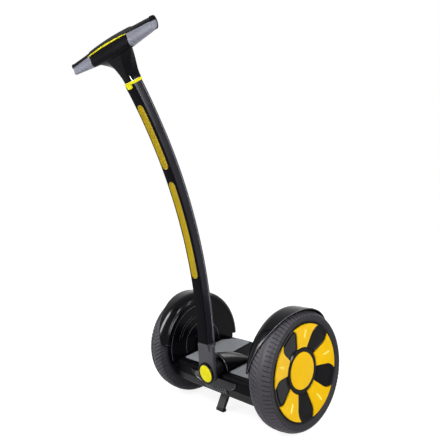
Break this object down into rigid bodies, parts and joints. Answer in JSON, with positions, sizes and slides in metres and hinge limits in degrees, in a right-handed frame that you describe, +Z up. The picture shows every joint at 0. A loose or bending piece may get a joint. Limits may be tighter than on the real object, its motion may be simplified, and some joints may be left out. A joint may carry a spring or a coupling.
{
  "type": "self-balancing personal transporter",
  "caption": "Stand-on balancing scooter: large wheels either side of a deck with grey mats, curved lean-steer stem with a wide bar, dished yellow petal wheel faces, parked on a stand.",
  "frame": {"origin": "on the floor, under the middle of the whole object's bounding box", "axes": "+Z up; +X towards the left wheel as the rider stands; -Y ahead of the rider, the way the stem leans"},
  "size_m": [0.5792, 0.7034, 1.142],
  "materials": {
    "tyre_rubber": "matt moulded tread",
    "black_gloss": "gloss black",
    "black_plastic": "satin black, fine moulded grain",
    "stem_gloss": "gloss dark grey with a violet cast",
    "yellow_plastic": "gloss amber yellow",
    "grey_rubber": "matt light grey",
    "silver_rubber": "satin silver grey",
    "black_rubber": "matt black",
    "grey_metal": "matt dark grey coating",
    "black_metal": "black coated casting",
    "bare_metal": "plain mill finish",
    "steel": "ground",
    "copper": "varnished copper windings on laminated iron",
    "battery_wrap": "blue shrink wrap",
    "circuit_green": "green lacquered board"
  },
  "bodies": {
    "base": {"chassis_frame": "black_metal", "upper_shell": "black_gloss", "lower_shell": "black_plastic", "pivot_cover": "black_gloss", "front_apron": "black_gloss", "front_grille": "black_plastic", "battery_pack": "battery_wrap", "control_board": "circuit_green", "foot_sensor_left": "black_plastic", "foot_sensor_right": "black_plastic", "axle_left": "steel", "axle_right": "steel", "stator_left": "copper", "stator_right": "copper", "fender_left": "black_gloss", "fender_right": "black_gloss", "axle_cover_left": "black_gloss", "axle_cover_right": "black_gloss", "kickstand_pin": "steel", "charge_socket": "black_plastic"},
    "wheel_left": {"tyre_left": "tyre_rubber", "motor_drum_left": "black_metal", "magnet_ring_left": "steel", "motor_plate_left": "black_metal", "wheel_bearing_left": "steel", "wheel_cover_left": "black_plastic", "petal_disc_left": "yellow_plastic", "hub_cap_left": "yellow_plastic"},
    "wheel_right": {"tyre_right": "tyre_rubber", "motor_drum_right": "black_metal", "magnet_ring_right": "steel", "motor_plate_right": "black_metal", "wheel_bearing_right": "steel", "wheel_cover_right": "black_plastic", "petal_disc_right": "yellow_plastic", "hub_cap_right": "yellow_plastic"},
    "stem": {"stem_bracket": "grey_metal", "pivot_shaft": "steel", "pivot_nut": "steel", "pivot_cap": "yellow_plastic", "stem_core": "bare_metal", "stem_rear_shell": "stem_gloss", "stem_front_shell": "black_plastic", "stem_insert_lower": "yellow_plastic", "stem_insert_upper": "yellow_plastic", "collar": "yellow_plastic", "head_housing": "black_plastic", "head_top_cover": "black_gloss", "trim_strip": "yellow_plastic", "bar_tube": "bare_metal", "grip_left": "silver_rubber", "grip_right": "silver_rubber", "end_cap_left": "black_gloss", "end_cap_right": "black_gloss"},
    "kickstand": {"kickstand_leg": "black_metal", "kickstand_foot": "black_rubber"},
    "charge_flap": {"charge_flap": "black_rubber"},
    "power_button": {"power_button": "silver_rubber"},
    "foot_mat_left": {"foot_mat_left": "grey_rubber"},
    "foot_mat_right": {"foot_mat_right": "grey_rubber"}
  },
  "joints": [
    {"name": "wheel_left_spin", "type": "hinge", "parent": "base", "child": "wheel_left", "pos_m": [0.2463, 0.16554, 0.183], "axis": [1, 0, 0], "continuous": true},
    {"name": "wheel_right_spin", "type": "hinge", "parent": "base", "child": "wheel_right", "pos_m": [-0.2463, 0.16554, 0.183], "axis": [1, 0, 0], "continuous": true},
    {"name": "stem_lean", "type": "hinge", "parent": "base", "child": "stem", "pos_m": [0, 0.01663, 0.14354], "axis": [0, 0.9848, 0.1736], "range_deg": [-15, 15], "stiffness_Nm_per_rad": 60},
    {"name": "kickstand_fold", "type": "hinge", "parent": "base", "child": "kickstand", "pos_m": [-0.013, 0.12754, 0.078], "axis": [1, 0, 0], "range_deg": [0, 105]},
    {"name": "charge_flap_open", "type": "hinge", "parent": "base", "child": "charge_flap", "pos_m": [0.1, 0.3052, 0.17706], "axis": [1, 0, 0], "range_deg": [0, 110]},
    {"name": "power_button_press", "type": "slide", "parent": "base", "child": "power_button", "axis": [0, -0.9848, -0.1736], "range_m": [0, 0.0015], "stiffness_N_per_m": 400, "springref_m": -0.003},
    {"name": "foot_mat_left_press", "type": "slide", "parent": "base", "child": "foot_mat_left", "axis": [0, 0.1736, -0.9848], "range_m": [0, 0.002], "stiffness_N_per_m": 4000, "springref_m": -0.003},
    {"name": "foot_mat_right_press", "type": "slide", "parent": "base", "child": "foot_mat_right", "axis": [0, 0.1736, -0.9848], "range_m": [0, 0.002], "stiffness_N_per_m": 4000, "springref_m": -0.003}
  ]
}
